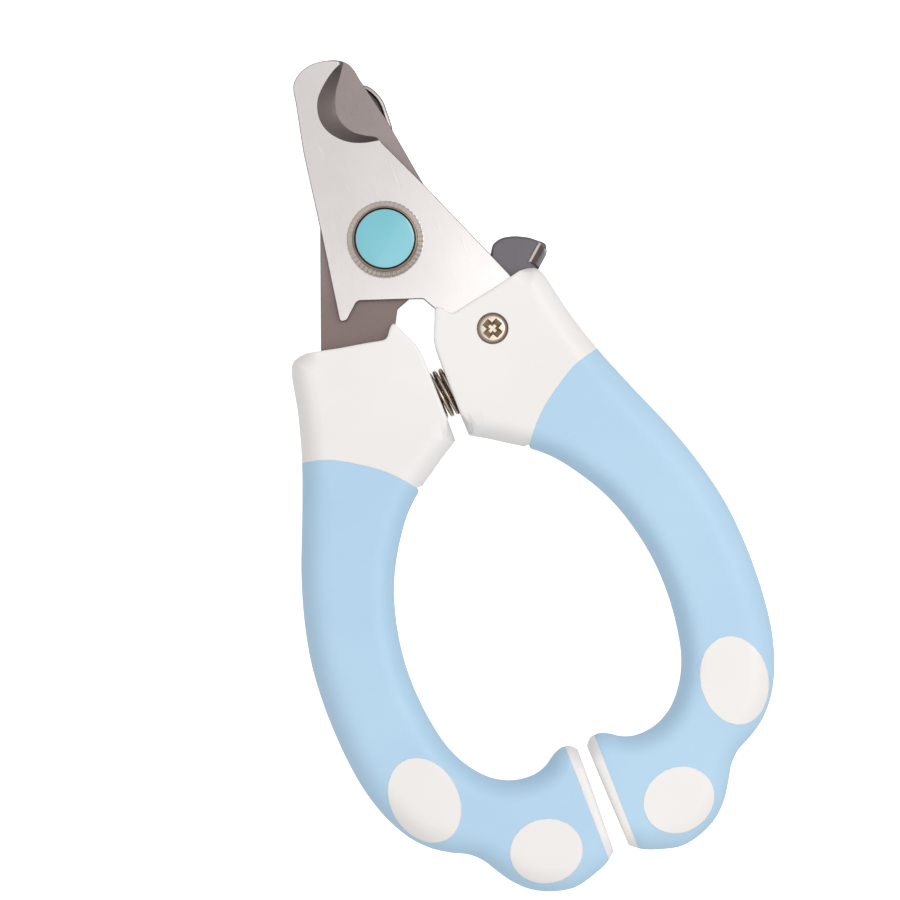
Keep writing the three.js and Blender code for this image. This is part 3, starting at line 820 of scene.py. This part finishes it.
def spring_pocket():
    """The seat in a core for one end of the spring, and the room in front of the post inside it."""
    mouth = -0.5
    post_front = 2.2
    section = ((2.7, mouth), (5.0, mouth), (5.0, SPRING_SEAT), (2.7, SPRING_SEAT))
    return [
        along_x(lathe(section, sides=64, ring=True), SPRING_Y),
        along_x(rod(3.4, mouth, post_front, sides=64), SPRING_Y),
    ]


def make_handles():
    """The white cores and the grips over them. The left handle is the right one turned over."""
    neck, strip, pads = core_solids()
    grip = grip_solid()
    screw_low = HALF_THICK - 1.7
    counterbore = ((0, screw_low), (2.8, screw_low), (2.8, 6.3), (3.0, 6.55), (3.0, 9), (0, 9))
    for side, flip in (("right", lambda solid: solid), ("left", turned_over)):
        cutters = [tang_pocket(), *spring_pocket()]
        if side == "right":
            cutters += [
                prism(SLOT, *SLOT_HEIGHTS),
                rod(SCREW_HOLE, -9, 9, SCREW),
                lathe(counterbore, SCREW, 64),
                rod(INSERT_HOLE, -9, -2.0, SCREW),
            ]
        core = cut(blank(f"{side}_core_shell", flip(neck)), *[flip(c) for c in cutters])
        extras = blank("extras", flip(joined(strip, *pads)))
        bm = bmesh.new()
        bm.from_mesh(core.data)
        bm.from_mesh(extras.data)
        bm.to_mesh(core.data)
        bm.free()
        bpy.data.objects.remove(extras)
        body = f"{side}_handle"
        finished(core, body, "white_plastic", MATERIALS["white_plastic"], f"{side}_core")
        soft = blank(f"{side}_grip_sleeve", flip(grip))
        finished(soft, body, "blue_grip", MATERIALS["blue_grip"], f"{side}_grip")


BADGE_RADIUS = 5.55


def make_pivot():
    """The knurled nut, the domed cap with the badge on it, and the slotted bolt behind."""
    low, high = height_of("pivot_nut")
    teeth = 48
    nut = (
        (2.5, low), (6.5, low), (6.8, low + 0.2), (6.9, low + 0.6, 0.1, teeth),
        (6.9, low + 0.9, 0.16, teeth), (6.75, low + 1.2, 0.2, teeth), (6.45, low + 1.42, 0.2, teeth),
        (6.12, low + 1.6, 0.17, teeth), (5.98, low + 1.72, 0.02, teeth), (5.94, high), (5.9, high),
        (5.82, high - 0.5), (2.5, high - 0.5),
    )
    piece = blank("pivot_nut_knurled", lathe(nut, sides=teeth * 8, ring=True))
    finished(piece, "right_handle", "bright_steel", MATERIALS["knurled_steel"], "pivot_nut", sharp=40)

    low, high = height_of("pivot_cap")
    edge = BADGE_RADIUS + 0.3
    arc = np.linspace(0, np.pi / 2, 14)
    dome = [(edge * math.cos(a), low + 0.2 + (high - low - 0.2) * math.sin(a)) for a in arc]
    cap = ((0, low), (edge - 0.2, low), (edge, low + 0.1), *dome[:-1], (0, high))
    piece = blank("pivot_cap_dome", lathe(cap))
    # The dome is coloured dark brown: painted shade and reflection round the badge.
    finished(piece, "right_handle", "bright_steel", MATERIALS["dark_bronze"], "pivot_cap")

    low, high = height_of("badge")
    edge = BADGE_RADIUS
    rim = (
        (edge - 0.32, low), (edge - 0.1, low), (edge, low + 0.1), (edge - 0.03, low + 0.3),
        (edge - 0.16, low + 0.36), (edge - 0.32, low + 0.28),
    )
    finished(blank("badge_rim", lathe(rim, ring=True)), "right_handle", "enamel", MATERIALS["rim"])
    disc = (
        (0, low), (edge - 0.33, low), (edge - 0.33, low + 0.24), (edge - 0.5, low + 0.3),
        (3.2, high - 0.08), (0, high),
    )
    finished(blank("badge_disc", lathe(disc)), "right_handle", "enamel", MATERIALS["enamel"], "badge")

    low, high = height_of("pivot_bolt")
    bolt = (
        (0, low), (4.0, low), (4.7, low + 0.15), (5.2, low + 0.55), (5.35, low + 1.0), (5.35, -4.15),
        (5.25, -4.1), (2.4, -4.1), (2.4, high - 0.2), (2.2, high), (0, high),
    )
    slot = prism(points((-6, -0.6), (6, -0.6), (6, 0.6), (-6, 0.6)), low - 1, low + 0.8)
    piece = cut(blank("pivot_bolt_turned", lathe(bolt)), slot)
    finished(piece, "right_handle", "bright_steel", MATERIALS["bright_steel"], "pivot_bolt")


def make_rings():
    """The turned rings that are mostly hidden: washers, sleeve, bush, spring washer and insert."""
    rows = (
        ("pivot_sleeve", (0, 0), 2.5, 3.4, "bright_steel"),
        ("nut_washer", (0, 0), 2.5, 6.0, "bright_steel"),
        ("guard_washer", (0, 0), 3.5, 5.0, "nylon"),
        ("lock_bush", SCREW, 1.6, 2.4, "brass"),
        ("lock_friction_ring", SCREW, 2.5, 3.9, "bright_steel"),
        ("lock_insert", SCREW, 1.6, 2.4, "brass"),
    )
    for node, centre, inner, outer, slot in rows:
        low, high = height_of(node)
        chamfer = min(0.12, 0.2 * (high - low))
        section = (
            (inner, low), (outer - chamfer, low), (outer, low + chamfer), (outer, high - chamfer),
            (outer - chamfer, high), (inner, high),
        )
        piece = blank(f"{node}_ring", lathe(section, centre, ring=True))
        finished(piece, "right_handle", slot, MATERIALS[slot], node)


GUARD_REST = -2.4  # degrees from straight ahead
GUARD_DROP = 1.9  # how far its broad end is stepped back


def make_guard():
    """The plate behind the blades: a flat eye, a step back, and a broad end with a raised lip."""
    eye = 6.3
    side = [(5.4, 9.0, 4.0), (5.4, 14.0, 3.0), (7.75, 18.4, 6.0), (7.8, 25.0, 7.0), (5.6, 28.4, 3.0)]
    outline = filleted([
        *[(eye * math.sin(a), -eye * math.cos(a), 0) for a in np.linspace(-1.5, 1.5, 30)],
        *side,
        *[(-x, y, radius) for x, y, radius in reversed(side)],
    ])
    low, high = height_of("nail_guard")
    low += GUARD_DROP
    lip = 1.2
    corner_radius = 0.45
    dish_start = 13.0

    def step_down(where):
        t = np.clip((where[:, 1] - 8.2) / 3.0, 0, 1)
        return GUARD_DROP * t * t * (3 - 2 * t)

    def lip_height(where):
        gap = distance(where, outline, True)
        t = np.clip((0.9 - gap) / 0.3, 0, 1)
        return lip * t * t * (3 - 2 * t) * np.clip((where[:, 1] - dish_start) / 2, 0, 1)

    def top(where):
        gap = distance(where, outline, True)
        return high - step_down(where) + lip_height(where) - corner(gap, corner_radius)

    def bottom(where):
        gap = distance(where, outline, True)
        return low - step_down(where) + corner(gap, corner_radius)

    hole = oval(0, 0, HOLE_RADIUS, HOLE_RADIUS, count=64)
    crease = np.stack([np.linspace(-5.2, 5.2, 16), np.full(16, dish_start)], axis=1)
    solid = slab(outline, top, bottom, [hole], [crease], rings=(0.08, 0.2, 0.45, 0.6, 0.72, 0.9), grid=1.1)
    guard = blank("nail_guard_plate", moved(solid, GUARD_REST))
    looks = [MATERIALS[name] for name in ("guard_steel", "ground_steel")]
    finished(guard, "nail_guard", "bright_steel", looks, "nail_guard")

    def in_dish(where, normals):
        turn = math.radians(GUARD_REST)
        along = where[:, 1] * math.cos(turn) - where[:, 0] * math.sin(turn)
        return (along > dish_start) & (normals[:, 2] > 0.1) & (where[:, 2] < high - GUARD_DROP + 0.9 * lip)

    # The dish under the blades gets the darker steel: painted shade.
    paint(guard, 1, in_dish)


def from_screw(distance_mm, degrees):
    """A point at that distance from the lock screw, in a direction clockwise from +Y."""
    a = math.radians(degrees)
    return SCREW[0] + distance_mm * math.sin(a), SCREW[1] + distance_mm * math.cos(a)


# The lever's bent-up end: the fold's direction, its widths, and where it starts from the screw.
FOLD = 49.4
FOLD_WIDTH = 0.42
FLANGE_WIDTH = 1.0
FLANGE_FROM = 13.85
LEVER_TIP = height_of("lock_lever")[1] - 0.25


def make_lever():
    """The thumb lever: a hub, a ledge under the stop tooth, a wide tab and an end that is bent up."""
    low = height_of("lock_friction_ring")[1] + 0.08
    high = -0.35
    screw = np.array(SCREW)
    radial = np.array([math.sin(math.radians(FOLD)), math.cos(math.radians(FOLD))])
    beyond = np.array([radial[1], -radial[0]])
    outline = filleted([
        (*from_screw(18.3, 53), 1.1), (*from_screw(17.9, 43), 5.0), (*from_screw(17.4, 35), 6.0),
        (*from_screw(16.7, 27), 4.0), (*from_screw(15.4, 21.5), 1.6), (*from_screw(10.3, 16), 0.8),
        (*from_screw(10.4, 4), 0.5), (*from_screw(4.4, -10), 1.0), (*from_screw(4.0, -60), 1.0),
        (*from_screw(4.0, 85), 1.0), (*from_screw(13.6, 58.7), 0.6), (*from_screw(16.8, 57.0), 1.6),
    ], 0.4)

    def across(where):
        return (where - screw) @ beyond

    def lifted(where):
        return np.clip((np.linalg.norm(where - screw, axis=1) - FLANGE_FROM) / 0.1, 0, 1)

    folds = (0, FOLD_WIDTH, FOLD_WIDTH + FLANGE_WIDTH)

    def top(where):
        up = np.interp(across(where), folds, (0, 0.14, LEVER_TIP - high))
        return high + up * lifted(where) - corner(distance(where, outline, True), 0.3)

    def bottom(where):
        up = np.interp(across(where), (0.5, 1.3, 2.2), (0, 0.2, 0.9))
        return low + up * lifted(where) + corner(distance(where, outline, True), 0.2)

    turns = np.radians(np.linspace(FOLD, 58.2, 9))
    straight = np.outer(np.linspace(FLANGE_FROM + 0.3, 17.2, 12), radial)
    arc = np.stack([np.sin(turns), np.cos(turns)], axis=1)
    creases = [
        *[screw + beyond * u + straight for u in folds],
        *[screw + r * arc for r in (FLANGE_FROM, FLANGE_FROM + 0.1)],
    ]
    plate = slab(outline, top, bottom, creases=creases, rings=(0.08, 0.3, 0.5), grid=0.5)
    hub = ((0, low), (3.85, low), (4.0, low + 0.15), (4.0, high - 0.15), (3.85, high), (0, high))
    lever = cut(blank("lock_lever_plate", plate), lathe(hub, SCREW), operation="UNION")
    lever = cut(lever, rod(2.5, -9, 9, SCREW, 64))
    looks = [MATERIALS[name] for name in ("lever_steel", "bright_steel", "bronze")]
    finished(lever, "lock_lever", "lever_steel", looks, "lock_lever")

    def on_flange(where, normals, start, end):
        u = across(where[:, :2])
        inner = distance(where[:, :2], outline, True) > 0.3
        return (u > start) & (u < end) & inner & (normals[:, 2] > 0.1) & (lifted(where[:, :2]) > 0.5)

    # A painted highlight along the fold in bright steel, and a painted brown reflection on the bent-up face.
    paint(lever, 1, lambda where, normals: on_flange(where, normals, *folds[:2]))
    paint(lever, 2, lambda where, normals: on_flange(where, normals, *folds[1:]))


def make_screw():
    """The lock screw, with a cross recess in its head."""
    low, high = height_of("lock_screw")
    head = high - 1.5
    profile = (
        (0, low), (1.2, low), (1.5, low + 0.3), (1.5, head), (2.72, head), (2.72, high - 0.5),
        (2.65, high - 0.4), (2.2, high - 0.06), (2.1, high), (1.9, high + 0.02), (0, high + 0.04),
    )
    screw = blank("lock_screw_turned", lathe(profile, SCREW))
    depth = 1.0
    turn = 28

    def wing(angle):
        """One bar of the cross, narrower at the bottom."""
        c, s = math.cos(math.radians(angle)), math.sin(math.radians(angle))
        rows = []
        for z, length, width in ((high + 0.2, 1.95, 0.84), (high - depth, 0.8, 0.26)):
            for u, v in ((-length, -width), (length, -width), (length, width), (-length, width)):
                rows.append((SCREW[0] + u * c - v * s, SCREW[1] + u * s + v * c, z))
        faces = [(0, 1, 2, 3), (7, 6, 5, 4), *[(i, i + 4, (i + 1) % 4 + 4, (i + 1) % 4) for i in range(4)]]
        return np.array(rows), faces

    looks = [MATERIALS[name] for name in ("screw_steel", "bronze", "dark_bronze")]
    cut(screw, wing(turn), wing(turn + 90))
    finished(screw, "right_handle", "bright_steel", looks, "lock_screw")

    def radius(where):
        return np.linalg.norm(where[:, :2] - np.array(SCREW), axis=1)

    def on_rim(where, normals):
        return (where[:, 2] > head) & (radius(where) > 2.15)

    def in_cross(where, normals):
        return (where[:, 2] > head) & (radius(where) < 2.1) & (abs(normals[:, 2]) < 0.95)

    # Painted shade: the rim of the head in brown and the walls of the cross in darker brown.
    paint(screw, 1, on_rim)
    paint(screw, 2, in_cross)


SPRING_RADIUS = 4.1
WIRE = 0.36
TURNS = 8
CLOSED_TURNS = 0.75  # at each end, lying flat against the seat
LEAN = 0.1


def make_spring():
    """The coil spring. Each ring of its wire gets one share of the stretch, so the wire keeps its section."""
    sides = 16
    steps = 48 * TURNS
    reach = SPRING_SEAT - 0.1 - WIRE
    turn = np.linspace(0, 2 * np.pi * TURNS, steps + 1)
    wound = turn / (2 * np.pi)
    share = np.clip((wound - CLOSED_TURNS) / (TURNS - 2 * CLOSED_TURNS), 0, 1)
    x = -reach + 2 * WIRE * np.minimum(wound, CLOSED_TURNS)
    x += share * (2 * reach - 4 * WIRE * CLOSED_TURNS)
    x += 2 * WIRE * np.clip(wound - (TURNS - CLOSED_TURNS), 0, CLOSED_TURNS)
    lean = -LEAN * SPRING_RADIUS * np.cos(turn) * np.sin(np.pi * share)
    y = SPRING_Y + SPRING_RADIUS * np.cos(turn)
    line = np.stack([x + lean, y, SPRING_RADIUS * np.sin(turn)], axis=1)
    tangent = np.gradient(line, axis=0)
    tangent /= np.linalg.norm(tangent, axis=1)[:, None]
    outward = np.stack([np.zeros(steps + 1), np.cos(turn), np.sin(turn)], axis=1)
    side = np.cross(tangent, outward)
    around = np.linspace(0, 2 * np.pi, sides, endpoint=False)
    rings = line[:, None] + WIRE * (
        outward[:, None] * np.cos(around)[None, :, None] + side[:, None] * np.sin(around)[None, :, None]
    )
    vertices = rings.reshape(-1, 3)
    faces = [tuple(range(sides)), tuple(range(steps * sides, (steps + 1) * sides))[::-1]]
    for r in range(steps):
        for i in range(sides):
            j = (i + 1) % sides
            faces.append((r * sides + i, r * sides + j, (r + 1) * sides + j, (r + 1) * sides + i))
    piece = blank("return_spring_coil", (vertices, faces))
    mesh = piece.data
    mesh.materials.append(MATERIALS["spring_steel"])
    mesh.polygons.foreach_set("use_smooth", [True] * len(mesh.polygons))
    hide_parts("return_spring")
    ends = [tuple(PIVOT + Vector((s * reach, SPRING_Y, 0)) * MM) for s in (1, -1)]
    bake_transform(piece, "right_handle", "left_handle", start=ends[0], end=ends[1])
    weights = np.repeat(1 - share, sides).astype(np.float32)
    mesh.attributes["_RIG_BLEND"].data.foreach_set("value", weights)


# --------------------------------------------------------------------------------------------------
# Floor, lights and camera
# --------------------------------------------------------------------------------------------------

ROLL = math.radians(-21.2)
VIEW_WIDTH = 0.1616
VIEW_CENTRE = Vector((-0.00283, 0.00386, 0.0085))
LENS = 150.0
SENSOR = 36.0
WORLD_STRENGTH = 0.8


def make_floor():
    """A white floor under the trimmer, seen by the camera but kept out of its reflections."""
    n = Nodes("floor", Roughness=0.7, Emission_Color=(1, 1, 1, 1), Emission_Strength=0.72)
    n.colours(n.noise(3.0, 3.0), (0.84, 0.84, 0.84), (0.86, 0.86, 0.86))
    bpy.ops.mesh.primitive_plane_add(size=8.0, location=(0, 0, cad_bounds[0].z - 0.0002))
    floor = bpy.context.object
    floor.name = "floor"
    floor.visible_diffuse = False
    floor.visible_glossy = False
    floor.data.materials.append(n.material)


def make_softbox(name, place, size, radiance):
    """A square light that looks at the trimmer. place is metres right, up and towards the camera, in the
    camera's view."""
    light = bpy.data.lights.new(name, "AREA")
    light.shape = "SQUARE"
    light.size = size
    light.energy = radiance * math.pi * size ** 2
    lamp = bpy.data.objects.new(name, light)
    bpy.context.scene.collection.objects.link(lamp)
    towards = Matrix.Rotation(ROLL, 3, "Z") @ Vector(place)
    lamp.location = VIEW_CENTRE + towards
    back = towards.normalized()
    side = Vector((0, 0, 1)).cross(back).normalized()
    lamp.rotation_euler = Matrix((side.cross(back), side, back)).transposed().to_euler()


def make_world():
    """A soft sky that is brightest overhead."""
    world = bpy.data.worlds.new("studio")
    world.use_nodes = True
    tree = world.node_tree
    background = tree.nodes["Background"]
    coords = tree.nodes.new("ShaderNodeTexCoord")
    split = tree.nodes.new("ShaderNodeSeparateXYZ")
    ramp = tree.nodes.new("ShaderNodeMapRange")
    for name, value in (("From Min", 0.0), ("From Max", 0.8), ("To Min", 0.97), ("To Max", 1.0)):
        ramp.inputs[name].default_value = value
    tree.links.new(coords.outputs["Generated"], split.inputs["Vector"])
    tree.links.new(split.outputs["Z"], ramp.inputs["Value"])
    tree.links.new(ramp.outputs["Result"], background.inputs["Color"])
    background.inputs["Strength"].default_value = WORLD_STRENGTH
    bpy.context.scene.world = world


def make_lights():
    make_world()
    make_softbox("overhead", place=(0.30, -0.15, 1.0), size=0.8, radiance=0.75)
    make_softbox("side", place=(0.55, 0.25, 0.8), size=0.5, radiance=3.1)


def make_camera():
    """A long lens straight above the trimmer, rolled so that it lies as in the photo."""
    camera = bpy.data.cameras.new("camera")
    camera.lens = LENS
    camera.sensor_width = SENSOR
    camera.clip_start, camera.clip_end = 0.01, 20
    holder = bpy.data.objects.new("camera", camera)
    bpy.context.scene.collection.objects.link(holder)
    holder.location = VIEW_CENTRE + Vector((0, 0, VIEW_WIDTH * LENS / SENSOR))
    holder.rotation_euler = (0, 0, ROLL)
    bpy.context.scene.camera = holder


make_blades()
make_handles()
make_pivot()
make_rings()
make_guard()
make_lever()
make_screw()
make_spring()
make_floor()
make_lights()
make_camera()
bpy.context.scene.view_settings.view_transform = "Standard"
